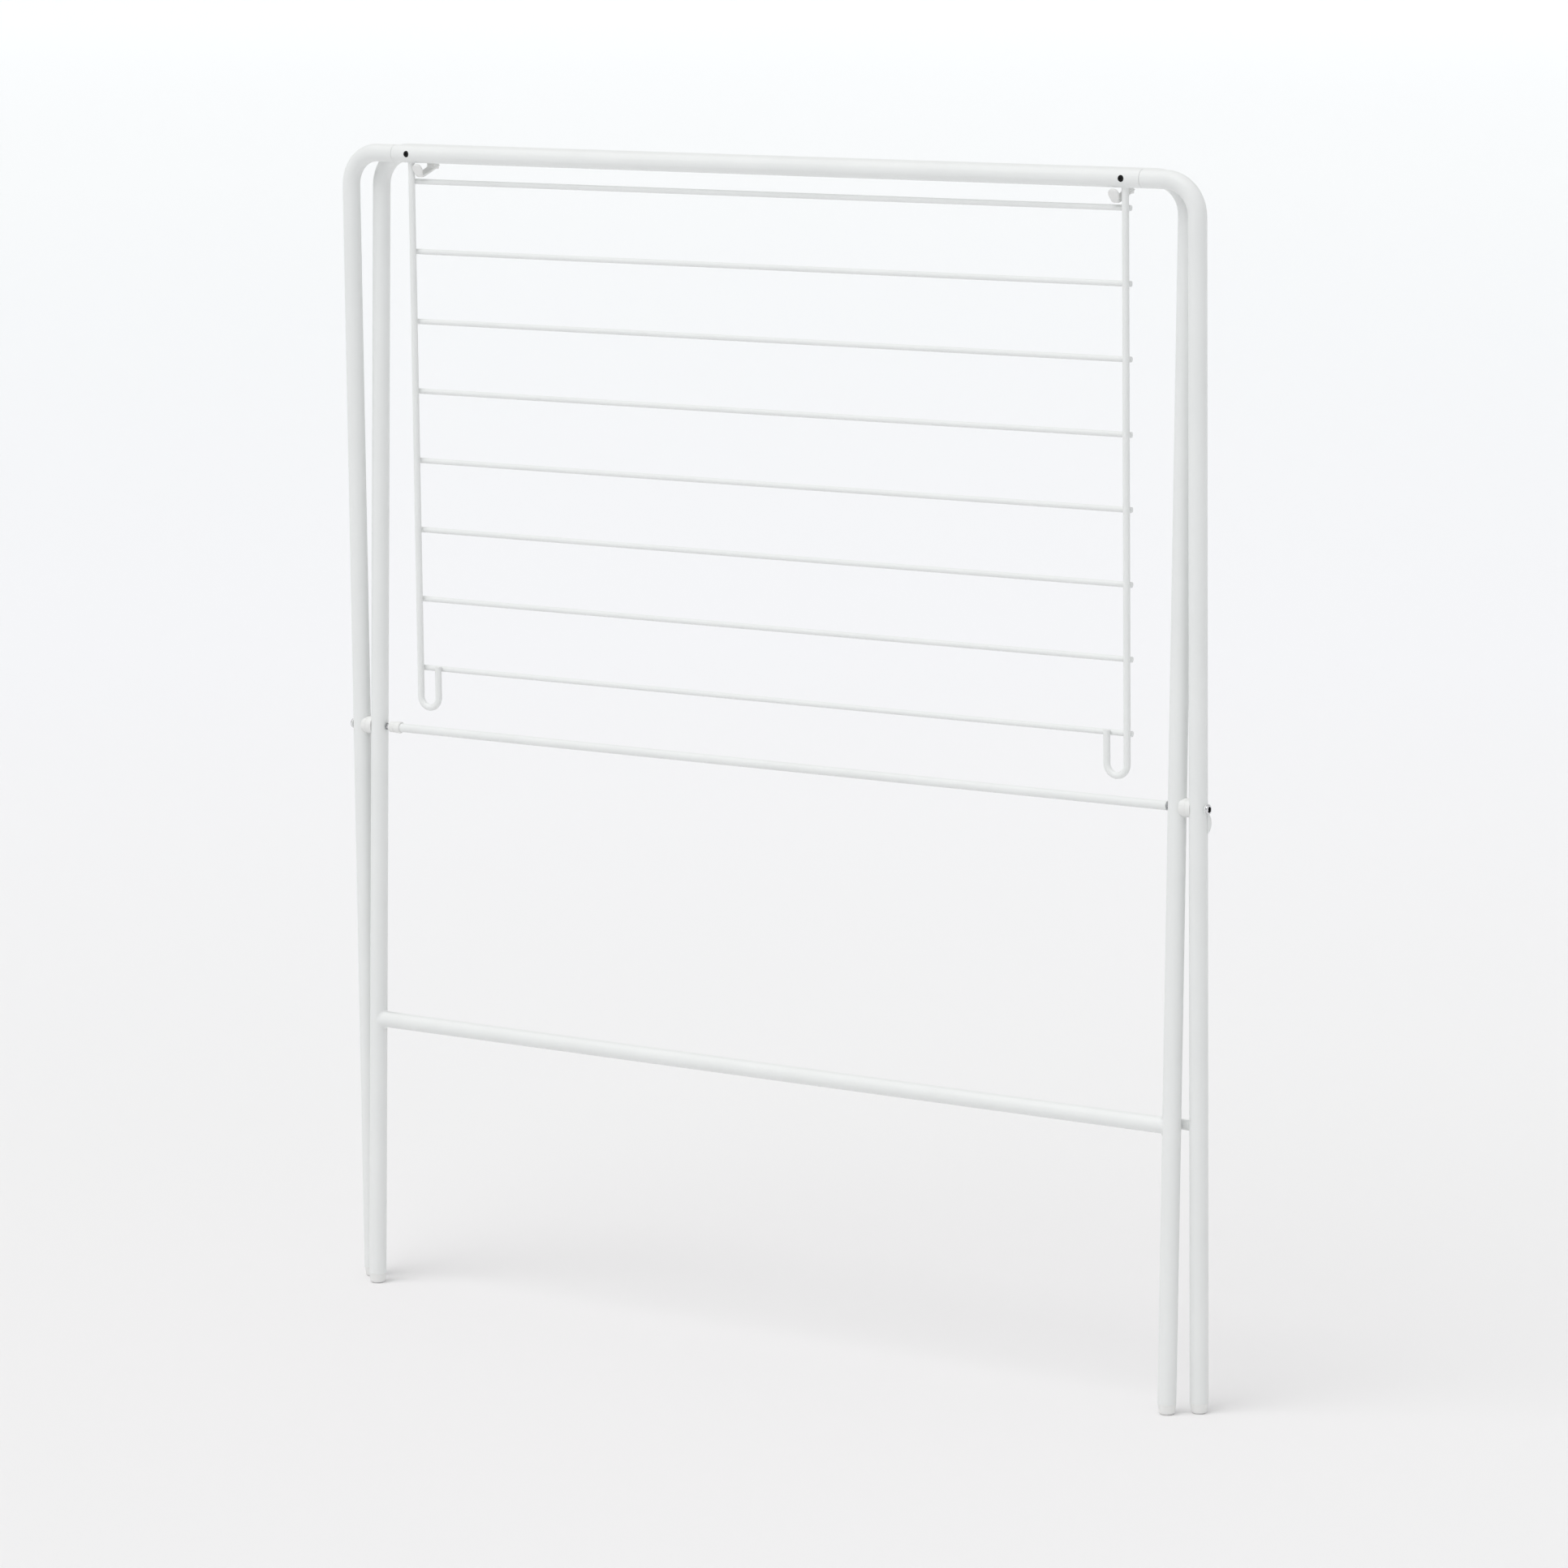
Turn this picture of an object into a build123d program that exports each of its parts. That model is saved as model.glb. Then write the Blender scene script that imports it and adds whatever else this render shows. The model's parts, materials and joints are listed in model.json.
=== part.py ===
from build123d import *
import math
import os

# Free-standing folding drying rack, folded flat. Millimetres.
# Origin: on the floor, midway between the four feet.
# +X runs along the top bars, +Y away from the user, +Z up.
# Two tube frames cross at a pivot at mid height. A wire grid hangs from the top tube of the outer frame.

# Tubes and frames
tube_r = 8.0               # legs and top tubes, outside radius
tube_wall = 1.2
tube_bore_r = tube_r - tube_wall
outer_half = 445.5         # middle of the rack to the axis of an outer leg
inner_half = 425.0         # middle of the rack to the axis of an inner leg
pivot_z = 518.8            # height of the pivot above the floor
upper_len = 525.0          # pivot to the top bar's axis, along the leg
lean = 1.06                # each frame's lean from upright when folded, degrees
bend_r = 30.0              # bend of the leg tube, on its axis
outer_seam = 393.6         # middle of the rack to the end of a bent outer leg tube
inner_seam = 388.0
spigot_len = 45.0          # necked end of a leg tube, inside the top tube
spigot_wall = 1.2
neck_len = 1.5             # thickness of the shoulder where the tube is necked

# Crossbars, set below the pivot along the legs
crossbar_drop = 272.0
inner_crossbar_r = 7.0
outer_crossbar_r = 4.5
stop_gap = 0.4             # folded frames: inner legs to the outer crossbar that stops them

# Pivot
bolt_r = 2.5
bolt_head_r = 4.25
bolt_head_h = 1.7
bolt_head_round = 0.8
bolt_socket_r = 2.9        # hexagon socket, to its corners
bolt_socket_depth = 1.3
pivot_play = 0.05          # running clearance of the inner legs on the bolts
side_play = 0.25           # gap between faces that turn past each other
spacer_r = 8.0             # drum between two legs, in two parts, each with its end hollowed to fit its leg
spacer_split = 436.5       # middle of the rack to the face between the two parts
spacer_play = 0.12         # gap between them
spacer_end = 4.4           # end of a part, short of the axis of its own leg
saddle_end = 5.3
washer_r = 3.0
washer_t = 1.2
tie_rod_r = 4.0
sleeve_r = 5.4
sleeve_len = 12.4
sleeve_gap = 3.6           # bare length of the left bolt between its washer and the sleeve
sleeve_chamfer = 1.4
bolt_grip = 7.5            # length of each bolt inside the tie rod or its sleeve
plate_t = 1.0              # lock plate under a bolt head
plate_eye_r = 4.6
plate_lobe_r = 9.3
plate_lobe_drop = 12.0
plate_lobe_y = -2.9
plate_front_y = 0.9        # straight front edge of the tab

# Turning joint of the grid on the outer frame
outer_spigot_r = 5.0
bush_r = tube_bore_r - 0.05
turn_gap = 0.3             # seam between the turning tube and a leg
groove_w = 5.0
groove_r = 5.55
rod_x = 376.0              # middle of the rack to a side rod, and to its retaining screw
screw_head_r = 2.9
screw_tip_r = 2.0
screw_recess = 0.4
screw_head_in = 7.05       # inner face of the screw's head, from the tube's axis
screw_tip_in = 5.95
screw_socket_r = 1.5
screw_socket_depth = 0.8

# Grid
rod_r = 3.0
rung_r = 2.5
rung_half = 377.8
rung_count = 8
first_rung_drop = 25.2     # top tube's axis to the first rung
rung_pitch = 63.27
loop_r = 10.0              # bend of the U-loop, on its axis
loop_end_drop = 506.6      # top tube's axis to the outside of the loop's end

# Hooks under the inner top tube, seen folded: a shelf that slopes down to the front, and an upright tongue
hook_x = 366.5             # middle of the rack to the middle of a hook, which is the middle of a U-loop
hook_t = 2.6               # thickness of shelf and tongue
tongue_foot_y = -9.8       # where the mid lines of shelf and tongue meet
tongue_foot_z = 1023.6
tongue_tip_y = -14.85
tongue_tip_z = 1034.58
tongue_low_half = 3.3      # tongue's half width at the shelf
tongue_half = 5.2          # and at its widest
tongue_half_z = 1029.7     # height of its widest place
tongue_tip_half = 2.6
tongue_back = -8.0         # from here on the shelf's own width holds
shelf_end_y = 13.0
shelf_end_z = 1033.3
shelf_half = 5.0
shelf_full_y = 1.0         # where the shelf gets its full width
seat_bottom = 1029.8       # flat under the shelf for the screw
seat_front = 5.0
hook_screw_r = 1.75
hook_screw_head_r = 2.8
hook_screw_head_h = 1.9
hook_screw_len = 13.0

# Feet
cap_h = 9.0
cap_top_r = 7.6
cap_low_r = 6.9
cap_round = 3.4
plug_len = 18.0

# Worked out
top_y = upper_len * math.sin(math.radians(lean))
top_z = pivot_z + upper_len * math.cos(math.radians(lean))
inner_spigot_r = tube_bore_r - 0.05
foot_end = -(pivot_z - cap_h)
outer_face = outer_half + tube_r
washer_x = inner_half - tube_r - side_play

outer_place = Location((0, 0, pivot_z), (lean, 0, 0))
inner_place = Location((0, 0, pivot_z), (-lean, 0, 0))
outer_top = Location((0, -top_y, top_z))
inner_top = Location((0, top_y, top_z))

SIDES = {"left": -1, "right": 1}
nodes = {}


def bar_along_x(x0, x1, radius, bore=0.0):
    """Round bar or tube on the X axis, between two places along X."""
    low, high = min(x0, x1), max(x0, x1)
    middle = Location(((low + high) / 2, 0, 0), (0, 90, 0))
    bar = Cylinder(radius, high - low)
    if bore:
        bar -= Cylinder(bore, high - low)
    return middle * bar


def bar_along_y(y0, y1, radius):
    """Round bar on the Y axis, between two places along Y."""
    middle = Location((0, (y0 + y1) / 2, 0), (90, 0, 0))
    return middle * Cylinder(radius, abs(y1 - y0))


def upright(x, radius, length=1200):
    """Long round bar on a leg's axis, for cutting a saddle or a trim."""
    return Location((x, 0, 0)) * Cylinder(radius, length)


# Legs: one bent tube each, necked at the top end, with the pivot at the origin of its frame.
def bent_leg(side, half, seam, spigot_r, hole_r):
    """Tube from the foot up to the bend, across to the seam, then the thinner spigot."""
    path = FilletPolyline(
        (side * half, 0, foot_end),
        (side * half, 0, upper_len),
        (side * seam, 0, upper_len),
        radius=bend_r,
    )
    ring = Plane(origin=(side * half, 0, foot_end), z_dir=(0, 0, 1)) * (Circle(tube_r) - Circle(tube_bore_r))
    leg = sweep(ring, path=path)
    bore = spigot_r - spigot_wall
    neck = bar_along_x(side * seam, side * (seam + neck_len), tube_r, bore)
    spigot = bar_along_x(side * (seam - spigot_len), side * (seam + neck_len), spigot_r, bore)
    leg += Location((0, 0, upper_len)) * (neck + spigot)
    leg -= bar_along_x(side * (half - 2 * tube_r), side * (half + 2 * tube_r), hole_r)
    return leg


for name, side in SIDES.items():
    nodes[f"outer_leg_{name}"] = outer_place * bent_leg(side, outer_half, outer_seam, outer_spigot_r, bolt_r)
    nodes[f"inner_leg_{name}"] = inner_place * bent_leg(
        side, inner_half, inner_seam, inner_spigot_r, bolt_r + pivot_play)


# Crossbars: cut to a saddle at each leg and welded there.
def crossbar(half, radius, wall, back):
    """Tube between the two legs of a frame, set back from the legs' plane by the last value."""
    bar = bar_along_x(-half, half, radius, radius - wall)
    bar = Location((0, back, -crossbar_drop)) * bar
    for side in SIDES.values():
        bar -= upright(side * half, tube_r)
    return bar


# The outer crossbar stands just behind the inner legs, and is the stop of the folded rack.
legs_apart = 2 * crossbar_drop * math.sin(math.radians(lean))
outer_crossbar_back = tube_r + stop_gap + outer_crossbar_r - legs_apart
nodes["inner_crossbar"] = inner_place * crossbar(inner_half, inner_crossbar_r, tube_wall, 0)
nodes["outer_crossbar"] = outer_place * crossbar(outer_half, outer_crossbar_r, tube_wall, outer_crossbar_back)

# Inner top tube: pushed over the spigots of the inner legs.
inner_tube = bar_along_x(-inner_seam, inner_seam, tube_r, tube_bore_r)


# Pivot: a bolt through each pair of legs, into the ends of the tie rod.
def pivot_bolt(side):
    """Button-head bolt with a hexagon socket, its head on the lock plate."""
    seat = outer_face + plate_t
    tip = washer_x - washer_t - bolt_grip
    head = Location((seat, 0, 0), (0, 90, 0)) * extrude(Circle(bolt_head_r), bolt_head_h)
    rim = head.edges().filter_by(GeomType.CIRCLE).sort_by(Axis.X)[-1]
    head = fillet(rim, bolt_head_round)
    socket = RegularPolygon(bolt_socket_r, 6)
    socket_base = Location((seat + bolt_head_h - bolt_socket_depth, 0, 0), (0, 90, 0))
    head -= socket_base * extrude(socket, bolt_head_h)
    bolt = head + bar_along_x(tip, seat, bolt_r)
    return bolt if side > 0 else mirror(bolt, about=Plane.YZ)


def lock_plate(side):
    """Flat plate round the bolt, with a tab like a D hanging below the head."""
    lobe = Location((plate_lobe_y, -plate_lobe_drop)) * Circle(plate_lobe_r)
    reach = 2 * plate_lobe_r
    front = Location((plate_front_y - reach, -plate_lobe_drop)) * Rectangle(2 * reach, 2 * reach)
    outline = lobe - front + Circle(plate_eye_r) - Circle(bolt_r)
    plate = extrude(Plane.YZ * outline, plate_t)
    start = outer_face if side > 0 else -outer_face - plate_t
    return Location((start, 0, 0)) * plate


def spacer_part(side, near, far, hole_r, place, half):
    """Part of the drum between two legs, with its end hollowed to the leg that it sits on."""
    drum = pivot * bar_along_x(side * near, side * far, spacer_r, hole_r)
    return drum - place * upright(side * half, tube_r)


pivot = Location((0, 0, pivot_z))
for name, side in SIDES.items():
    nodes[f"pivot_bolt_{name}"] = pivot * pivot_bolt(side)
    nodes[f"lock_plate_{name}"] = outer_place * lock_plate(side)
    nodes[f"pivot_spacer_{name}"] = spacer_part(
        side, spacer_split, outer_half - spacer_end, bolt_r, outer_place, outer_half)
    nodes[f"leg_saddle_{name}"] = spacer_part(
        side, inner_half + saddle_end, spacer_split - spacer_play,
        bolt_r + pivot_play, inner_place, inner_half)
    nodes[f"tie_rod_washer_{name}"] = pivot * bar_along_x(
        side * washer_x, side * (washer_x - washer_t), washer_r, bolt_r)

# Tie rod: its right end is bored and threaded, its left end screws into the sleeve.
rod_end = washer_x - washer_t
sleeve_start = sleeve_gap - rod_end
sleeve_middle = sleeve_start + sleeve_len / 2
sleeve_tip = sleeve_start + sleeve_len
tie_rod = bar_along_x(sleeve_middle, rod_end, tie_rod_r)
tie_rod -= bar_along_x(rod_end - bolt_grip - 1, rod_end, bolt_r)
nodes["tie_rod"] = pivot * tie_rod
sleeve = bar_along_x(sleeve_start, sleeve_tip, sleeve_r)
sleeve = chamfer(sleeve.edges().filter_by(GeomType.CIRCLE).sort_by(Axis.X)[-1], sleeve_chamfer)
sleeve -= bar_along_x(sleeve_start, sleeve_middle, bolt_r)
sleeve -= bar_along_x(sleeve_middle, sleeve_tip, tie_rod_r)
nodes["tie_rod_sleeve"] = pivot * sleeve


# Grid: top tube turning on nylon bushes, side rods, rungs.
top_tube = bar_along_x(turn_gap - outer_seam, outer_seam - turn_gap, tube_r, tube_bore_r)
for side in SIDES.values():
    top_tube -= Location((side * rod_x, 0, 0)) * bar_along_y(-2 * tube_r, 0, screw_head_r)
nodes["top_tube"] = outer_top * top_tube


def spigot_bush(side):
    """Nylon sleeve on a spigot, with a groove for the retaining screw's tip."""
    bush = bar_along_x(side * (outer_seam - spigot_len), side * outer_seam, bush_r, outer_spigot_r)
    groove = bar_along_x(side * (rod_x - groove_w / 2), side * (rod_x + groove_w / 2), bush_r + 1, groove_r)
    return bush - groove


def retaining_screw():
    """Short black screw in the front of the top tube, its tip in the bush's groove."""
    face = tube_r - screw_recess
    screw = bar_along_y(-face, -screw_head_in, screw_head_r)
    screw += bar_along_y(-screw_head_in, -screw_tip_in, screw_tip_r)
    socket = Plane(origin=(0, -face, 0), z_dir=(0, 1, 0)) * RegularPolygon(screw_socket_r, 6)
    return screw - extrude(socket, screw_socket_depth)


def side_rod(side):
    """Straight wire down from the top tube, turned inwards into a U-loop that ends at the last rung."""
    arc_z = loop_r + rod_r - loop_end_drop
    last_rung = -first_rung_drop - (rung_count - 1) * rung_pitch
    inside = rod_x - 2 * loop_r
    down = Line((side * rod_x, 0, 0), (side * rod_x, 0, arc_z))
    turn = ThreePointArc(
        (side * rod_x, 0, arc_z),
        (side * (rod_x - loop_r), 0, arc_z - loop_r),
        (side * inside, 0, arc_z),
    )
    up = Line((side * inside, 0, arc_z), (side * inside, 0, last_rung + rung_r))
    rod = sweep(Plane(origin=(side * rod_x, 0, 0), z_dir=(0, 0, -1)) * Circle(rod_r), path=down + turn + up)
    return rod - bar_along_x(side * (rod_x - 20), side * (rod_x + 20), tube_r)


# The grid hangs in the plane of the outer legs.
grid_place = outer_top * Location((0, 0, 0), (lean, 0, 0))
for name, side in SIDES.items():
    nodes[f"spigot_bush_{name}"] = outer_top * spigot_bush(side)
    nodes[f"retaining_screw_{name}"] = outer_top * (Location((side * rod_x, 0, 0)) * retaining_screw())
    nodes[f"side_rod_{name}"] = grid_place * side_rod(side)

for i in range(rung_count):
    drop = first_rung_drop + i * rung_pitch
    place = Location((0, rod_r + rung_r, -drop))
    nodes[f"rung_{i + 1}"] = grid_place * (place * bar_along_x(-rung_half, rung_half, rung_r))


# Hooks: moulded, one under each end of the inner top tube, held by a screw that also holds the leg's spigot.
# On the open rack the shelf is level and the tongue stands up through the grid's U-loop.
def bent_strip(start, bend, end, thickness):
    """Outline of a strip with one bend, in the YZ plane, given the three points of its mid line."""
    def ray(to):
        length = math.hypot(to[0] - bend[0], to[1] - bend[1])
        return (to[0] - bend[0]) / length, (to[1] - bend[1]) / length

    (y1, z1), (y2, z2) = ray(start), ray(end)
    half = thickness / 2
    into = half / math.sin(math.acos(y1 * y2 + z1 * z2) / 2) / math.hypot(y1 + y2, z1 + z2)
    y3, z3 = (y1 + y2) * into, (z1 + z2) * into
    return [
        (start[0] + z1 * half, start[1] - y1 * half),
        (bend[0] + y3, bend[1] + z3),
        (end[0] - z2 * half, end[1] + y2 * half),
        (end[0] + z2 * half, end[1] - y2 * half),
        (bend[0] - y3, bend[1] - z3),
        (start[0] - z1 * half, start[1] + y1 * half),
    ]


def mirrored(half_outline):
    """Closed outline from the points of its right half."""
    return make_face(Polyline(*half_outline, *[(-x, v) for x, v in reversed(half_outline)], close=True))


def loop_hook():
    """Shelf and tongue as one bent strip, the tongue cut to a leaf and the shelf to a taper."""
    corners = bent_strip(
        (tongue_tip_y, tongue_tip_z), (tongue_foot_y, tongue_foot_z), (shelf_end_y, shelf_end_z), hook_t)
    seat = [(seat_front, seat_bottom), (shelf_end_y, seat_bottom), (shelf_end_y, top_z), (seat_front, top_z)]
    outline = make_face(Polyline(*corners, close=True)) + make_face(Polyline(*seat, close=True))
    side = Plane(origin=(-tongue_half, 0, 0), x_dir=(0, 1, 0), z_dir=(1, 0, 0))
    body = extrude(side * outline, 2 * tongue_half)
    leaf = mirrored([
        (tongue_low_half, tongue_foot_z - 2 * hook_t),
        (tongue_low_half, tongue_foot_z),
        (tongue_half, tongue_half_z),
        (tongue_tip_half, tongue_tip_z + hook_t),
    ])
    front = Plane(origin=(0, tongue_back, 0), x_dir=(1, 0, 0), z_dir=(0, -1, 0))
    body -= extrude(front * (Location((0, tongue_foot_z)) * Rectangle(40, 60) - leaf), 20)
    plan = mirrored([
        (tongue_low_half, tongue_back),
        (shelf_half, shelf_full_y),
        (shelf_half, 2 * shelf_end_y),
    ])
    beside = Location((0, tongue_back + 30)) * Rectangle(40, 60) - plan
    body -= extrude(Location((0, 0, seat_bottom - 20)) * beside, 60)
    body -= inner_top * bar_along_x(-shelf_half - 1, shelf_half + 1, tube_r)
    screw_seat = Location((0, top_y, seat_bottom)) * Cylinder(hook_screw_head_r + 0.2, 2 * hook_screw_head_h)
    hole = Location((0, top_y, seat_bottom)) * Cylinder(hook_screw_r, 30)
    return body - screw_seat - hole


def hook_screw():
    """Pan-head screw, up through the hook's seat into the tube and the spigot."""
    head = extrude(Circle(hook_screw_head_r), -hook_screw_head_h)
    rim = head.edges().filter_by(GeomType.CIRCLE).sort_by(Axis.Z)[0]
    head = fillet(rim, hook_screw_head_h / 2)
    screw = head + extrude(Circle(hook_screw_r), hook_screw_len)
    return Location((0, top_y, seat_bottom + hook_screw_head_h)) * screw


for name, side in SIDES.items():
    aside = Location((side * hook_x, 0, 0))
    nodes[f"loop_hook_{name}"] = aside * loop_hook()
    nodes[f"hook_screw_{name}"] = aside * hook_screw()
    hole = Location((side * hook_x, 0, -tube_r)) * Cylinder(hook_screw_r, 2 * tube_r)
    nodes[f"inner_leg_{name}"] -= inner_top * hole
    inner_tube -= hole
nodes["inner_top_tube"] = inner_top * inner_tube


# Foot caps: plugs with a round end, flat where they stand.
def foot_cap():
    """Plug in the tube's end and a rounded foot below it."""
    foot = Location((0, 0, foot_end - cap_h / 2 - 0.5)) * Cone(cap_low_r, cap_top_r, cap_h + 1)
    rim = foot.edges().filter_by(GeomType.CIRCLE).sort_by(Axis.Z)[0]
    foot = fillet(rim, cap_round)
    plug = Location((0, 0, foot_end + plug_len / 2)) * Cylinder(tube_bore_r, plug_len)
    return foot + plug


below_floor = Location((0, 0, -25)) * Box(1200, 400, 50)
for frame, half, place in (("outer", outer_half, outer_place), ("inner", inner_half, inner_place)):
    for name, side in SIDES.items():
        cap = place * (Location((side * half, 0, 0)) * foot_cap())
        nodes[f"{frame}_foot_cap_{name}"] = cap - below_floor

os.makedirs("parts", exist_ok=True)
for name, shape in nodes.items():
    export_step(shape, f"parts/{name}.step")
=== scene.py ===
import json
import math

import bpy
import numpy as np
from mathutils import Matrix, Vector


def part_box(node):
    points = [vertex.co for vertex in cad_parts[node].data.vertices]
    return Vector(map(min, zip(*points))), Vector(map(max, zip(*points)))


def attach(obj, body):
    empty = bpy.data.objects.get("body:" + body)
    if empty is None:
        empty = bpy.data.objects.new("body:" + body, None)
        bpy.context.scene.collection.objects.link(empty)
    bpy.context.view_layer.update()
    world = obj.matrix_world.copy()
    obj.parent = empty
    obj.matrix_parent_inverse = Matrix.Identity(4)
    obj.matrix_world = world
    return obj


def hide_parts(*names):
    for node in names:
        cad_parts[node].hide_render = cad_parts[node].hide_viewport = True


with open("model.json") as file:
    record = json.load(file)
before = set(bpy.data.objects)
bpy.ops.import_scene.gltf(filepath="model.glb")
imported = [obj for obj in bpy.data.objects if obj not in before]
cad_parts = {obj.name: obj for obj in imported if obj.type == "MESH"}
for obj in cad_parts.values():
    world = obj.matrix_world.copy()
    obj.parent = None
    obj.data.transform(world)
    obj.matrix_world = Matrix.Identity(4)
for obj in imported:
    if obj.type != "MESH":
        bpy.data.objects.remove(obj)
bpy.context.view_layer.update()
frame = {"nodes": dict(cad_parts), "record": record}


# Camera: stands to the right of the rack's front, at about a person's shoulder height,
# and looks slightly down on it through a long lens. The lens is slid down a little, so
# that the legs stay nearly upright in the picture.
def set_camera(place, turn, tilt, lens, slide):
    """Looks along the direction turned left from +Y by `turn` degrees and tilted down by `tilt`."""
    camera = bpy.data.objects.new("camera", bpy.data.cameras.new("camera"))
    bpy.context.scene.collection.objects.link(camera)
    camera.location = place
    camera.rotation_euler = (math.radians(90 - tilt), 0, math.radians(turn))
    camera.data.sensor_width = 36
    camera.data.lens = lens
    camera.data.shift_y = slide
    camera.data.clip_end = 200
    bpy.context.scene.camera = camera


set_camera(place=(3.0045, -4.3224, 1.3018), turn=34.58, tilt=6.87, lens=139.26, slide=-0.12)


# Studio floor: one pale sheet, flat under the rack and curving up into a wall all round,
# far enough out that every view has it behind. It is painted a little darker near the rack and paler far
# from it, as painted shade for the fall of light over the floor.
def link_piece(name, mesh, material):
    """Puts a finished mesh into the scene as one smooth-shaded object with that material."""
    mesh.materials.append(material)
    mesh.polygons.foreach_set("use_smooth", np.ones(len(mesh.polygons), bool))
    piece = bpy.data.objects.new(name, mesh)
    bpy.context.scene.collection.objects.link(piece)
    return piece


def new_material(name):
    """Empty node material. Returns it with its node tree and its Principled shader."""
    material = bpy.data.materials.new(name)
    material.use_nodes = True
    return material, material.node_tree, material.node_tree.nodes["Principled BSDF"]


def ramp(tree, source, stops):
    """Colour Ramp that turns the source value into the colours of the stops."""
    node = tree.nodes.new("ShaderNodeValToRGB")
    elements = node.color_ramp.elements
    while len(elements) < len(stops):
        elements.new(0.5)
    for element, (position, colour) in zip(elements, stops):
        element.position = position
        element.color = (*colour, 1)
    tree.links.new(source, node.inputs["Fac"])
    return node.outputs["Color"]


def studio_floor():
    """Matt paper, whose grey depends on the distance from the middle of the floor, as painted shade:
    darker near the rack, paler far out.
    """
    material, tree, shader = new_material("studio_paper_painted_shade")
    place = tree.nodes.new("ShaderNodeTexCoord")
    distance = tree.nodes.new("ShaderNodeVectorMath")
    distance.operation = "LENGTH"
    tree.links.new(place.outputs["Object"], distance.inputs[0])
    reach = tree.nodes.new("ShaderNodeMapRange")
    reach.inputs["From Max"].default_value = 20.0
    tree.links.new(distance.outputs["Value"], reach.inputs["Value"])
    # Painted shade: the ramp makes the paper darker near the rack and paler far out, standing in for the
    # fall of light over the floor.
    colour = ramp(tree, reach.outputs["Result"], (
        (0.02, (0.866, 0.858, 0.862)),
        (0.05, (0.868, 0.866, 0.868)),
        (0.15, (0.896, 0.896, 0.906)),
        (0.24, (0.907, 0.911, 0.93)),
        (0.60, (0.917, 0.93, 0.944)),
        (1.00, (0.932, 0.946, 0.954)),
    ))
    tree.links.new(colour, shader.inputs["Base Color"])
    shader.inputs["Roughness"].default_value = 0.9
    shader.inputs["Specular IOR Level"].default_value = 0.1

    flat, curve, wall = 45.0, 10.0, 5.0
    bend = np.linspace(0, math.pi / 2, 25)
    out = np.concatenate([np.geomspace(0.5, flat, 40), flat + curve * np.sin(bend)[1:], [flat + curve]])
    up = np.concatenate([np.zeros(40), curve * (1 - np.cos(bend))[1:], [curve + wall]])
    around = np.linspace(0, 2 * math.pi, 96, endpoint=False)
    points = np.stack([
        out[:, None] * np.cos(around),
        out[:, None] * np.sin(around),
        up[:, None] + 0 * around,
    ], axis=-1)
    index = np.arange(points[..., 0].size).reshape(points.shape[:2])
    ahead = np.roll(index, -1, axis=1)
    quads = np.stack([index[:-1], index[1:], ahead[1:], ahead[:-1]], axis=-1).reshape(-1, 4)
    mesh = bpy.data.meshes.new("studio_floor")
    mesh.from_pydata(points.reshape(-1, 3), [], quads.tolist() + [index[0].tolist()])
    link_piece("studio_floor", mesh, material)


studio_floor()


# Studio light: a pale dome, brightest overhead like a wide soft box and dimmer towards the
# horizon, and one soft key from high on the left.
def set_light(horizon, overhead, suns):
    """World whose grey rises evenly with the sine of the height above the horizon, and suns
    given as name, strength, width, tilt and turn in degrees."""
    world = bpy.data.worlds.new("studio_dome")
    world.use_nodes = True
    tree = world.node_tree
    direction = tree.nodes.new("ShaderNodeTexCoord")
    parts = tree.nodes.new("ShaderNodeSeparateXYZ")
    tree.links.new(direction.outputs["Generated"], parts.inputs["Vector"])
    stops = ((0.0, (horizon,) * 3), (1.0, (overhead,) * 3))
    tree.links.new(ramp(tree, parts.outputs["Z"], stops), tree.nodes["Background"].inputs["Color"])
    bpy.context.scene.world = world
    for name, strength, width, tilt, turn in suns:
        sun = bpy.data.lights.new(name, "SUN")
        sun.energy = strength
        sun.angle = math.radians(width)
        lamp = bpy.data.objects.new(name, sun)
        lamp.rotation_euler = (math.radians(tilt), 0, math.radians(turn))
        bpy.context.scene.collection.objects.link(lamp)


set_light(0.1, 0.95, (("key", 1.18, 45, 32, -12),))
bpy.context.scene.view_settings.view_transform = "Standard"


# Outer frame: two bent steel tubes, necked at their top ends, and a thin crossbar with a
# weld bead round each end. All of it is white powder coat, baked to a satin.
def bump(tree, shader, scale, height, detail=2.0):
    """Fine relief from noise with `scale` features a metre and a height in metres."""
    place = tree.nodes.new("ShaderNodeTexCoord")
    noise = tree.nodes.new("ShaderNodeTexNoise")
    noise.inputs["Scale"].default_value = scale
    noise.inputs["Detail"].default_value = detail
    relief = tree.nodes.new("ShaderNodeBump")
    relief.inputs["Strength"].default_value = 1.0
    relief.inputs["Distance"].default_value = height
    tree.links.new(place.outputs["Object"], noise.inputs["Vector"])
    tree.links.new(noise.outputs["Fac"], relief.inputs["Height"])
    tree.links.new(relief.outputs["Normal"], shader.inputs["Normal"])


def mottle(tree, scale, stops):
    """Slow change of colour over the piece, from noise through a Colour Ramp."""
    place = tree.nodes.new("ShaderNodeTexCoord")
    noise = tree.nodes.new("ShaderNodeTexNoise")
    noise.inputs["Scale"].default_value = scale
    noise.inputs["Detail"].default_value = 3.0
    tree.links.new(place.outputs["Object"], noise.inputs["Vector"])
    return ramp(tree, noise.outputs["Fac"], stops)


def grey(value):
    return (value, value, value)


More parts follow.
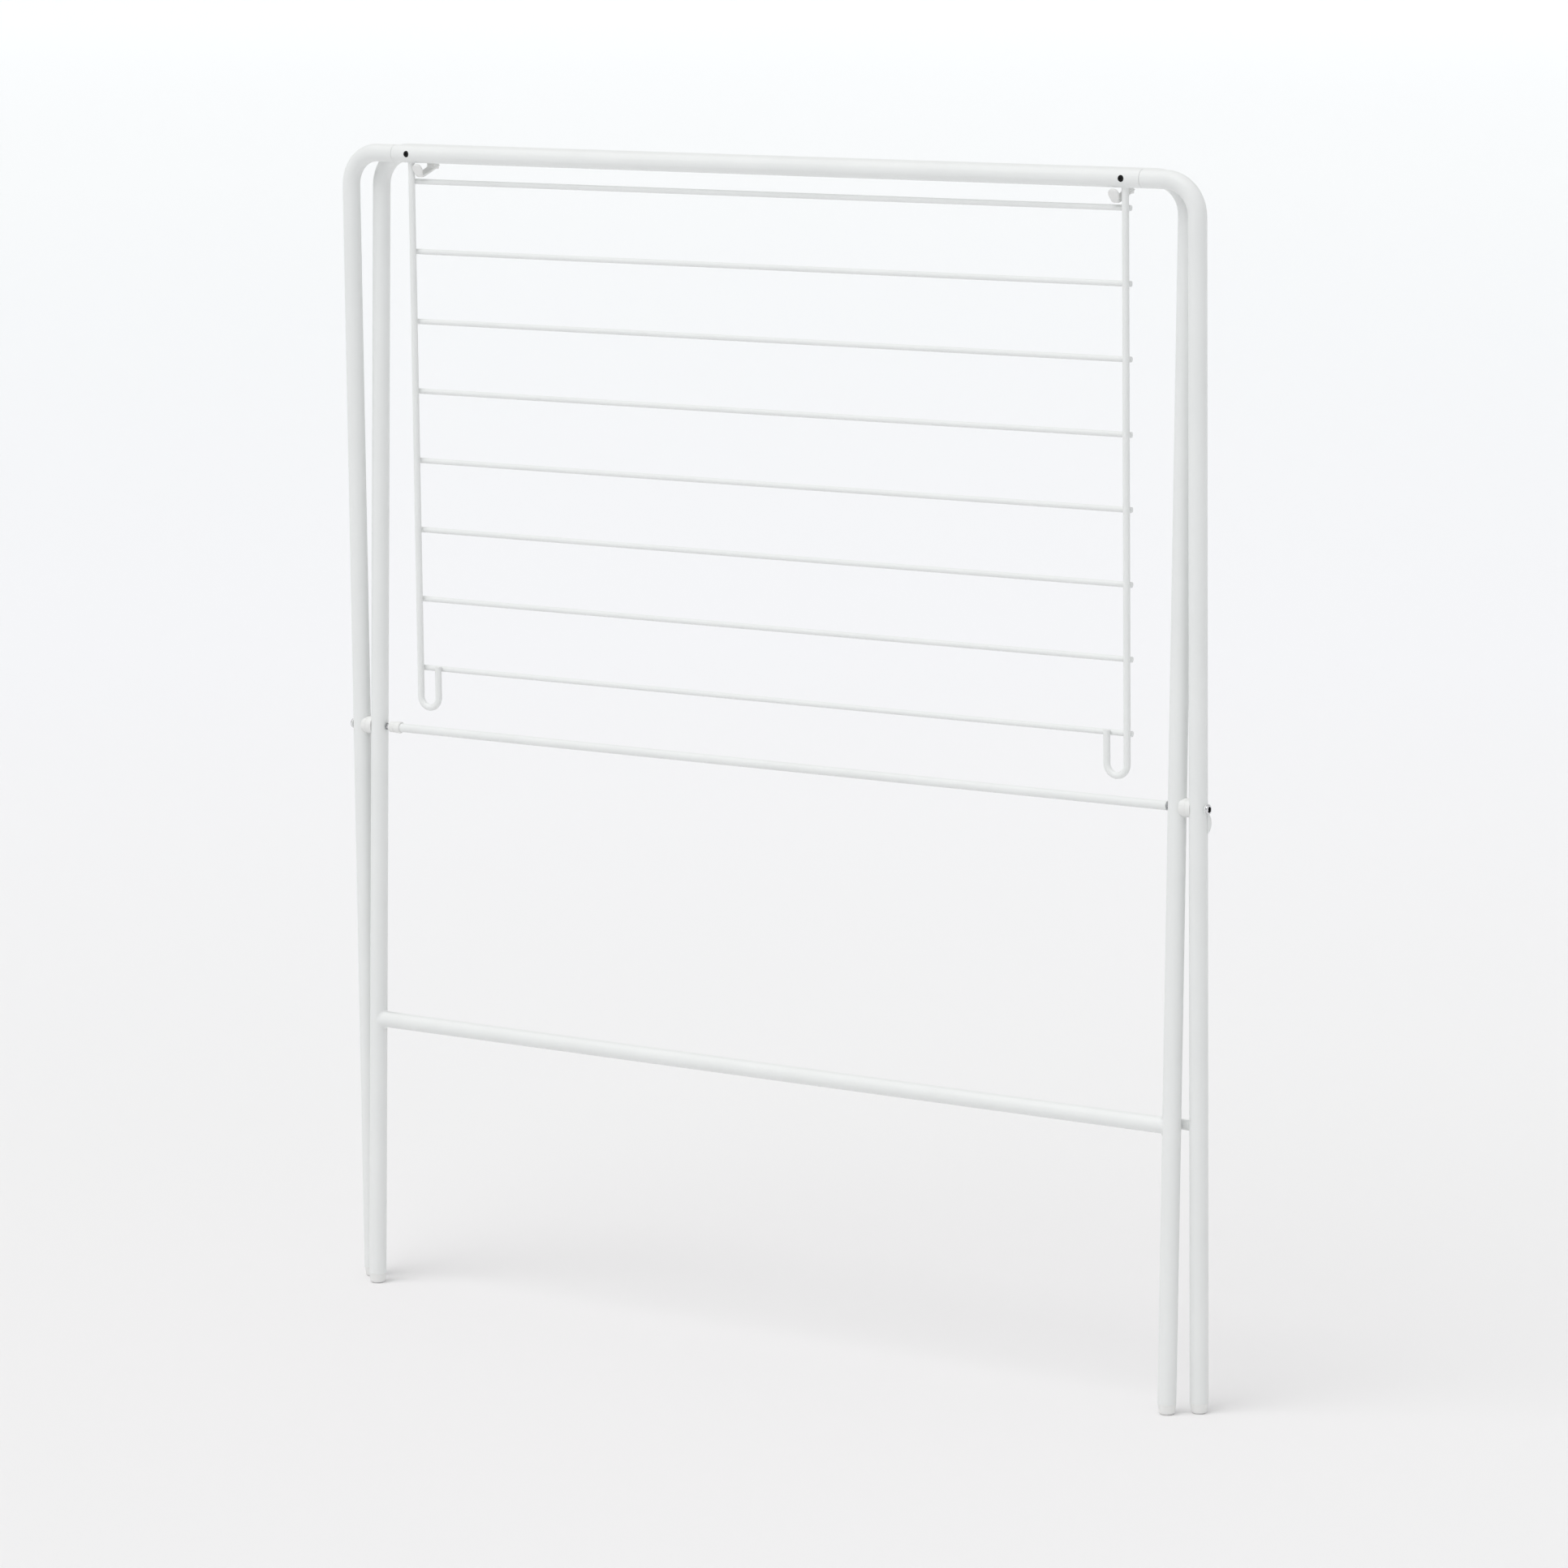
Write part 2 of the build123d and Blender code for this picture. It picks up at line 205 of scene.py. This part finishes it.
def cloudy_finish(name, light, dark, gloss, grain, grain_height, cloud=14, **sockets):
    """Finish whose colour and roughness drift between two values, over a fine grain."""
    material, tree, shader = new_material(name)
    tree.links.new(mottle(tree, cloud, ((0.35, dark), (0.65, light))), shader.inputs["Base Color"])
    rough = mottle(tree, 4 * cloud, ((0.3, grey(gloss[0])), (0.7, grey(gloss[1]))))
    tree.links.new(rough, shader.inputs["Roughness"])
    bump(tree, shader, grain, grain_height)
    for socket, value in sockets.items():
        shader.inputs[socket].default_value = value
    return material


white_coat = cloudy_finish(
    "white_powder_coat", (0.83, 0.842, 0.835), (0.81, 0.823, 0.816), (0.36, 0.46), 900, 0.00004,
    **{"Specular IOR Level": 0.3})


def finish_nodes(material, *names):
    """Gives CAD nodes a finish through their objects' material slots."""
    for name in names:
        for slot in frame["nodes"][name].material_slots:
            slot.material = material


def ring_stack(*rings):
    """Rings of points, each (points, 3), stacked to (rings, points, 3)."""
    return np.stack(np.broadcast_arrays(*rings))


def skin(name, stacks, material, body, replaced=()):
    """One closed, outward-facing piece from stacks of rings, each (rings, points, 3) and a flag.
    Quads join neighbouring rings. With the flag set the last ring joins the first, as on a
    torus; without it a fan to the middle of each end ring closes the ends. A stack whose
    signed volume, the sum of p . (q x r) / 6 over its triangles, is negative is turned round."""
    points, faces, start = [], [], 0
    for rings, looped in stacks:
        count, around = rings.shape[:2]
        index = start + np.arange(count * around).reshape(count, around)
        part = rings.reshape(-1, 3)
        if looped:
            index = np.vstack([index, index[:1]])
        ahead = np.roll(index, -1, axis=1)
        quads = np.stack([index[:-1], ahead[:-1], ahead[1:], index[1:]], axis=-1).reshape(-1, 4)
        triangles = np.vstack([quads[:, [0, 1, 2]], quads[:, [0, 2, 3]]])
        fans = np.empty((0, 3), int)
        if not looped:
            first, last = start + len(part), start + len(part) + 1
            part = np.vstack([part, rings[0].mean(0), rings[-1].mean(0)])
            fan = np.full(around, first)
            fans = np.vstack([
                np.stack([ahead[0], index[0], fan], axis=-1),
                np.stack([index[-1], ahead[-1], fan + last - first], axis=-1),
            ])
            triangles = np.vstack([triangles, fans])
        a, b, c = (part[triangles[:, k] - start] for k in range(3))
        if np.einsum("ij,ij->", a, np.cross(b, c)) < 0:
            quads, fans = quads[:, ::-1], fans[:, ::-1]
        points.append(part)
        faces += quads.tolist() + fans.tolist()
        start += len(part)
    mesh = bpy.data.meshes.new(name)
    mesh.from_pydata(np.vstack(points), [], faces)
    mesh.validate()
    piece = link_piece(name, mesh, material)
    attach(piece, body)
    if replaced:
        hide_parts(*replaced)
    return piece


# Where the frames cross and where the grid turns, and how far a folded leg leans.
joints = frame["record"]["behaviour"]["joints"]
hinges = {joint["name"]: np.array(joint["pos_m"]) for joint in joints}
pivot = hinges["frame_fold"]
top_axis = hinges["grid_swing"]
lean = math.atan2(-top_axis[1], top_axis[2] - pivot[2])
millimetre = 0.001
leg_r = 8 * millimetre
sides = {"left": -1, "right": 1}


def middle_of(node):
    """Middle of a CAD node's box."""
    low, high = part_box(node)
    return np.array((low + high) / 2)


def tilted(points, tilt, about):
    """Turns points about the X axis by `tilt` radians and moves them to the place `about`."""
    x, y, z = np.moveaxis(points, -1, 0)
    sine, cosine = math.sin(tilt), math.cos(tilt)
    return np.stack([x, y * cosine - z * sine, y * sine + z * cosine], axis=-1) + about


def weld_bead(bar_r, tube_r, offset, throat, ripple=0.05):
    """Weld where a bar along X meets an upright tube at the origin from its -X side. Round the
    bar, at angle u, the corner is y = offset + bar_r cos u, z = bar_r sin u, x = -sqrt(tube_r^2
    - y^2). The bead's toes are a throat's width from it along the bar and round the tube, and a
    quadratic curve with its control point at the corner joins them. It closes inside the metal."""
    u = np.linspace(0, 2 * math.pi, 64, endpoint=False)
    width = throat * (1 + ripple * np.sin(9 * u + 1.0) + 0.6 * ripple * np.sin(16 * u))
    y, z = offset + bar_r * np.cos(u), bar_r * np.sin(u)
    corner = np.stack([-np.sqrt(tube_r ** 2 - y ** 2), y, z], axis=-1)
    sink = 0.12 * millimetre
    on_bar = np.stack([
        corner[:, 0] - width,
        offset + (bar_r - sink) * np.cos(u),
        (bar_r - sink) * np.sin(u),
    ], axis=-1)
    turn = np.arcsin(y / tube_r) + width / tube_r * np.cos(u)
    on_tube = np.stack([
        -(tube_r - sink) * np.cos(turn),
        (tube_r - sink) * np.sin(turn),
        z + width * np.sin(u),
    ], axis=-1)
    into_tube, into_bar = 1.5 * millimetre, 0.3 * bar_r
    buried = corner + np.stack([into_tube + 0 * u, -into_bar * np.cos(u), -into_bar * np.sin(u)], axis=-1)
    curve = [
        (1 - t) ** 2 * on_bar + 2 * t * (1 - t) * corner + t ** 2 * on_tube
        for t in np.linspace(0, 1, 8)
    ]
    return ring_stack(*curve, buried)


def mirrored(points, side):
    """Points made for the right side of the rack, with X negated for the left side."""
    return points * np.array([side, 1, 1])


def crossbar_welds(name, body, bar, bar_r, leg, frame_tilt):
    """Bead at both ends of a crossbar, whose place comes from its node's box."""
    throat = 3.2 * millimetre
    leg_x = middle_of(f"{leg}_foot_cap_right")[0]
    below = tilted(middle_of(bar) - pivot, -frame_tilt, 0)
    stacks = []
    for side in sides.values():
        bead = weld_bead(bar_r, leg_r, below[1], throat)
        bead = mirrored(bead + np.array([leg_x, 0, below[2]]), side)
        stacks.append((tilted(bead, frame_tilt, pivot), True))
    skin(name, stacks, white_coat, body)


finish_nodes(white_coat, "outer_leg_left", "outer_leg_right", "outer_crossbar")
crossbar_welds("outer_crossbar_welds", "outer_frame", "outer_crossbar", 4.5 * millimetre, "outer", lean)


# Inner frame: the narrower pair of legs, with a thick crossbar low down and a top tube
# pushed over their necked ends. It has the same coat and the same welds.
finish_nodes(white_coat, "inner_leg_left", "inner_leg_right", "inner_crossbar", "inner_top_tube")
crossbar_welds("inner_crossbar_welds", "inner_frame", "inner_crossbar", 7 * millimetre, "inner", -lean)


# Pivot: plated bolts through the legs into the tie rod, a nylon drum in two parts between each
# pair of legs, a coated lock plate under each bolt head, and a moulded sleeve on the rod's left.
white_nylon = cloudy_finish(
    "white_nylon", (0.84, 0.842, 0.83), (0.815, 0.818, 0.806), (0.42, 0.55), 1500, 0.00003, cloud=30)
bright_steel = cloudy_finish(
    "bright_steel", (0.74, 0.74, 0.75), (0.62, 0.62, 0.63), (0.12, 0.24), 700, 0.00001, cloud=60,
    Metallic=1.0)
zinc_plate = cloudy_finish(
    "zinc_plate", (0.5, 0.51, 0.52), (0.38, 0.39, 0.4), (0.35, 0.55), 1800, 0.00002, cloud=90,
    Metallic=1.0)
# Black oxide of the retaining screws. The same dark finish is also used as painted shade in the bolt
# sockets.
black_oxide = cloudy_finish(
    "black_oxide", (0.012, 0.012, 0.013), (0.004, 0.004, 0.0045), (0.3, 0.5), 1500, 0.00002, cloud=120,
    **{"Specular IOR Level": 0.2})

finish_nodes(white_coat, "tie_rod", "lock_plate_left", "lock_plate_right")
finish_nodes(white_nylon, "pivot_spacer_left", "pivot_spacer_right", "leg_saddle_left", "leg_saddle_right")
finish_nodes(bright_steel, "pivot_bolt_left", "pivot_bolt_right")
finish_nodes(zinc_plate, "tie_rod_washer_left", "tie_rod_washer_right")


def hexagon(x, corner_r):
    """Ring of six corners about the X axis, at angles u of 60 degrees from +Z."""
    u = np.radians(np.arange(0, 360, 60))
    return np.stack([x + 0 * u, corner_r * np.sin(u), corner_r * np.cos(u)], axis=-1)


def socket_painted_shade():
    """Painted shade in the hexagon sockets of the bolt heads: a thin dark six-sided tube, whose
    outside lies just inside the socket's walls."""
    corner_r, wall = 2.86 * millimetre, 0.2 * millimetre
    lip, bottom = 0.15 * millimetre, 1.25 * millimetre
    stacks = []
    for name, side in sides.items():
        low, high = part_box(f"pivot_bolt_{name}")
        face = high[0] if side > 0 else -low[0]
        tube = ring_stack(
            hexagon(face - lip, corner_r),
            hexagon(face - bottom, corner_r),
            hexagon(face - bottom, corner_r - wall),
            hexagon(face - lip, corner_r - wall),
        )
        stacks.append((mirrored(tube, side) + np.array([0, pivot[1], pivot[2]]), True))
    # The liners are painted shade: a dark sheet where the socket walls would only lie in shade.
    piece = skin("socket_painted_shade", stacks, black_oxide, "outer_frame")
    piece.data.polygons.foreach_set("use_smooth", np.zeros(len(piece.data.polygons), bool))


socket_painted_shade()


def turned(profile, ribs=0, rib_depth=0.0, rib_weight=0.0, around=72):
    """Rings about the X axis from a profile of (x, radius) rows. With ribs, the radius drops by
    rib_depth (1 - cos(ribs u)) / 2 at angle u, weighted by rib_weight for each row."""
    profile = np.asarray(profile, float)
    u = np.linspace(0, 2 * math.pi, around, endpoint=False)
    dip = rib_depth * (1 - np.cos(ribs * u)) / 2
    radius = profile[:, 1, None] - np.asarray(rib_weight) * dip
    x = profile[:, 0, None] + 0 * u
    return np.stack([x, radius * np.cos(u), radius * np.sin(u)], axis=-1)


def rounded_corner(x, radius, size, start, end, steps=6):
    """Rows of (x, radius) on an arc of radius `size` about (x, radius), between two angles in degrees."""
    a = np.radians(np.linspace(start, end, steps))
    return np.stack([x + size * np.cos(a), radius + size * np.sin(a)], axis=-1)


def rod_sleeve():
    """Sleeve nut: a ribbed grip next to the leg, a groove, and a plain collar whose edge is eased.
    Its right end closes inside the tie rod."""
    low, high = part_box("tie_rod_sleeve")
    length, outside = high[0] - low[0], (high[2] - low[2]) / 2
    edge, far_edge = 0.6 * millimetre, 0.96 * millimetre
    bore, inside_rod = 2.6 * millimetre, 3.9 * millimetre
    grip, groove = 0.44 * length, 0.52 * length
    grip_r, groove_r = 0.93 * outside, 0.84 * outside
    rows = np.vstack([
        [(0, bore)],
        rounded_corner(edge, grip_r - edge, edge, 180, 90),
        np.stack([np.linspace(2 * edge, grip, 6), np.full(6, grip_r)], axis=-1),
        [(grip + 0.3 * edge, groove_r), (groove, groove_r)],
        rounded_corner(groove + edge, outside - edge, edge, 180, 90),
        rounded_corner(length - far_edge, outside - far_edge, far_edge, 90, 0),
        [(length, inside_rod), (length - 4 * edge, inside_rod)],
    ])
    weight = ((rows[:, 0] > edge) & (rows[:, 0] <= grip)).astype(float)[:, None]
    rings = turned(rows, ribs=18, rib_depth=0.35 * millimetre, rib_weight=weight, around=144)
    rings = rings + np.array([low[0], pivot[1], pivot[2]])
    skin("rod_sleeve", [(rings, False)], white_nylon, "outer_frame", ["tie_rod_sleeve"])


rod_sleeve()


# Grid: a top tube that turns on the outer frame, two side rods that end in U-loops, and eight
# rungs spot-welded behind the rods. It is coated in one piece, so welds and wires are alike.
rung_names = [f"rung_{number}" for number in range(1, 9)]
finish_nodes(white_coat, "top_tube", "side_rod_left", "side_rod_right", *rung_names)
rod_r = 3 * millimetre
rung_r = 2.5 * millimetre


def rod_axis(name):
    """X of a side rod's straight length, which is a radius in from the outside of its loop."""
    low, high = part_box(f"side_rod_{name}")
    return high[0] - rod_r if name == "right" else low[0] + rod_r


def rod_welds():
    """Bead round the top of each side rod. It is the crossbar's bead with its axes changed, so
    that the bar hangs down along Z from a tube along X."""
    throat = 1.5 * millimetre
    bead = weld_bead(rod_r, leg_r, 0, throat)[..., [2, 1, 0]]
    stacks = [
        (tilted(bead + np.array([rod_axis(name), 0, 0]), lean, top_axis), True)
        for name in sides
    ]
    skin("rod_welds", stacks, white_coat, "grid")


def nugget(centre, half_sizes, around=20, rows=9):
    """Squeezed-out metal of a spot weld: an ellipsoid about a place. At turn a and climb b its
    point is (cos b cos a, cos b sin a, sin b) times the half sizes, and the poles are fans."""
    turn = np.linspace(0, 2 * math.pi, around, endpoint=False)
    climb = np.radians(np.linspace(-80, 80, rows))[:, None]
    unit = np.stack([
        np.cos(climb) * np.cos(turn),
        np.cos(climb) * np.sin(turn),
        np.sin(climb) + 0 * turn,
    ], axis=-1)
    return unit * half_sizes + centre


def spot_welds():
    """Nuggets in the corner between each rung and each rod, and at the last rung's loop ends."""
    loop_width = 20 * millimetre
    half_sizes = np.array([2.9, 1.0, 2.6]) * millimetre
    stacks = []
    for rung in rung_names:
        middle = middle_of(rung)
        for name, side in sides.items():
            places = [rod_axis(name)]
            if rung == rung_names[-1]:
                places.append(rod_axis(name) - side * loop_width)
            for x in places:
                centre = np.array([x, middle[1] - rung_r, middle[2]])
                stacks.append((nugget(centre, half_sizes), False))
    skin("spot_welds", stacks, white_coat, "grid")


rod_welds()
spot_welds()


# Turning joint of the grid: natural nylon bushes inside the top tube's ends, and two black
# socket screws in its front, whose tips run in the bushes' grooves.
natural_nylon = cloudy_finish(
    "natural_nylon", (0.82, 0.8, 0.73), (0.78, 0.755, 0.68), (0.4, 0.55), 1500, 0.00003, cloud=30)
finish_nodes(natural_nylon, "spigot_bush_left", "spigot_bush_right")
finish_nodes(black_oxide, "retaining_screw_left", "retaining_screw_right")


# Hooks: moulded in white nylon, one under each end of the inner top tube. A shelf runs down
# to the front and turns up into a leaf-shaped tongue, and a boss with a screw holds it.
def arc_path(points, ease, steps):
    """Path through a corner: straight, a quadratic curve that starts and ends `ease` from the
    corner, and straight again. Points are rows of (y, z)."""
    start, corner, end = (np.array(point, float) for point in points)
    into = corner + ease * (start - corner) / np.linalg.norm(start - corner)
    out = corner + ease * (end - corner) / np.linalg.norm(end - corner)
    t = np.linspace(0, 1, steps)[:, None]
    bend = (1 - t) ** 2 * into + 2 * t * (1 - t) * corner + t ** 2 * out
    first = start + np.linspace(0, 1, 2 * steps)[:-1, None] * (into - start)
    last = out + np.linspace(0, 1, 2 * steps)[1:, None] * (end - out)
    return np.vstack([first, bend, last])


def moulded_strip(path, half_width, half_thick, around=40):
    """Strip along a path in the YZ plane. A ring at angle u is x = width |cos u|^k sgn(cos u) and
    off the path = thickness |sin u|^k sgn(sin u), a rectangle with soft corners for k = 0.45."""
    along = np.gradient(path, axis=0)
    along /= np.linalg.norm(along, axis=1, keepdims=True)
    off = np.stack([-along[:, 1], along[:, 0]], axis=-1)
    u = np.linspace(0, 2 * math.pi, around, endpoint=False)
    wide = np.sign(np.cos(u)) * np.abs(np.cos(u)) ** 0.45
    thick = np.sign(np.sin(u)) * np.abs(np.sin(u)) ** 0.45
    x = half_width[:, None] * wide
    yz = path[:, None] + (half_thick[:, None] * thick)[..., None] * off[:, None]
    return np.concatenate([x[..., None], yz], axis=-1)


def hook_strip(low, high, tube):
    """Strip from the tongue's tip to the shelf's end. The tongue's half width is a half circle at
    the tip and narrows evenly to the foot, and the shelf widens evenly to its full width."""
    thick, tongue_w, foot_w, shelf_w = (v * millimetre for v in (1.3, 5.2, 3.2, 5.0))
    tip_inset, tip_drop, foot_out, foot_rise = (v * millimetre for v in (1.15, 9.0, 5.2, 1.5))
    end_inset, end_drop, bend_ease, widening = (v * millimetre for v in (0.3, 10.6, 2.6, 11.0))
    tip = (low[1] + tip_inset, tube[2] - tip_drop)
    foot = (tip[0] + foot_out, low[2] + foot_rise)
    end = (high[1] - end_inset, tube[2] - end_drop)
    path = arc_path((tip, foot, end), bend_ease, 10)
    steps = np.linalg.norm(np.diff(path, axis=0), axis=1)
    travel = np.concatenate([[0], np.cumsum(steps)])
    foot_at = travel[np.argmin(np.linalg.norm(path - np.array(foot), axis=1))]
    widths = np.interp(travel, [tongue_w, foot_at, foot_at + widening], [tongue_w, foot_w, shelf_w])
    near_tip = np.clip(1 - travel / tongue_w, 0, 1)
    widths *= np.sqrt(np.clip(1 - 0.93 * near_tip ** 2, 0, 1))
    round_end = np.clip(np.minimum(travel, travel[-1] - travel) / thick, 0, 1)
    thickness = thick * np.sqrt(np.clip(1 - 0.85 * (1 - round_end) ** 2, 0, 1))
    return moulded_strip(path, widths, thickness)


def hook_boss(tube):
    """Block under the tube. Its outline is a rectangle with soft corners, |cos u|^k and |sin u|^k
    for k = 0.4, its top follows the tube's underside, and its bottom has a recess for the screw."""
    half_x, half_y, seat_drop, edge = (v * millimetre for v in (4.6, 3.9, 13.9, 0.5))
    head_r, head_h, buried = (v * millimetre for v in (3.0, 1.9, 0.4))
    u = np.linspace(0, 2 * math.pi, 48, endpoint=False)
    x = half_x * np.sign(np.cos(u)) * np.abs(np.cos(u)) ** 0.4
    off = half_y * np.sign(np.sin(u)) * np.abs(np.sin(u)) ** 0.4
    top = tube[2] - np.sqrt(leg_r ** 2 - off ** 2) + buried
    seat = tube[2] - seat_drop

    def ring(x, off, z):
        return np.stack(np.broadcast_arrays(x, tube[1] + off, z), axis=-1)

    rim = (head_r * np.cos(u), head_r * np.sin(u))
    return ring_stack(
        ring(x, off, top),
        ring(x, off, seat + edge),
        ring(0.95 * x, 0.95 * off, seat),
        ring(*rim, seat),
        ring(*rim, seat + head_h),
    )


def loop_hook(name):
    """One hook: its strip and its boss, at the X of its screw."""
    low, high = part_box(f"loop_hook_{name}")
    tube = middle_of("inner_top_tube")
    aside = np.array([middle_of(f"hook_screw_{name}")[0], 0, 0])
    stacks = [(hook_strip(low, high, tube) + aside, False), (hook_boss(tube) + aside, False)]
    skin(f"moulded_hook_{name}", stacks, white_nylon, "inner_frame", [f"loop_hook_{name}"])


for name in sides:
    loop_hook(name)
finish_nodes(zinc_plate, "hook_screw_left", "hook_screw_right")


# Feet: white nylon plugs pressed into the tubes, each with a thin lip against the tube's end
# and a tapered, rounded foot that is worn flat where it stands.
def foot_cap(leg, name, frame_tilt):
    """Turned about the leg's axis: buried plug, lip, taper and a round end. What would reach
    below the floor is pressed flat on it."""
    cap = f"{leg}_foot_cap_{name}"
    cap_h, plug_h, plug_r = (v * millimetre for v in (9.0, 8.0, 6.7))
    lip_r, lip_h, lip_edge, neck_r = (v * millimetre for v in (7.9, 1.1, 0.3, 7.7))
    low_r, end_round, flat_r, press = (v * millimetre for v in (6.9, 3.4, 1.5, 0.4))
    end = cap_h - pivot[2]
    bottom = end - cap_h - press
    a = np.radians(np.linspace(0, 90, 10))
    rows = np.vstack([
        [(end + plug_h, plug_r), (end, plug_r)],
        rounded_corner(end - lip_edge, lip_r - lip_edge, lip_edge, 0, 90),
        rounded_corner(end - lip_h + lip_edge, lip_r - lip_edge, lip_edge, 90, 150),
        [(end - lip_h - lip_edge / 2, neck_r)],
        [(end - cap_h / 2, (neck_r + low_r) / 2)],
        np.stack([
            bottom + end_round * (1 - np.sin(a)),
            low_r - end_round * (1 - np.cos(a)),
        ], axis=-1),
        [(bottom, flat_r)],
    ])
    rings = turned(rows, around=64)[..., [1, 2, 0]] + np.array([middle_of(cap)[0], 0, 0])
    rings = tilted(rings, frame_tilt, pivot)
    rings[..., 2] = np.maximum(rings[..., 2], 0)
    skin(f"foot_{leg}_{name}", [(rings, False)], white_nylon, f"{leg}_frame", [cap])


for leg, frame_tilt in (("outer", lean), ("inner", -lean)):
    for name in sides:
        foot_cap(leg, name, frame_tilt)
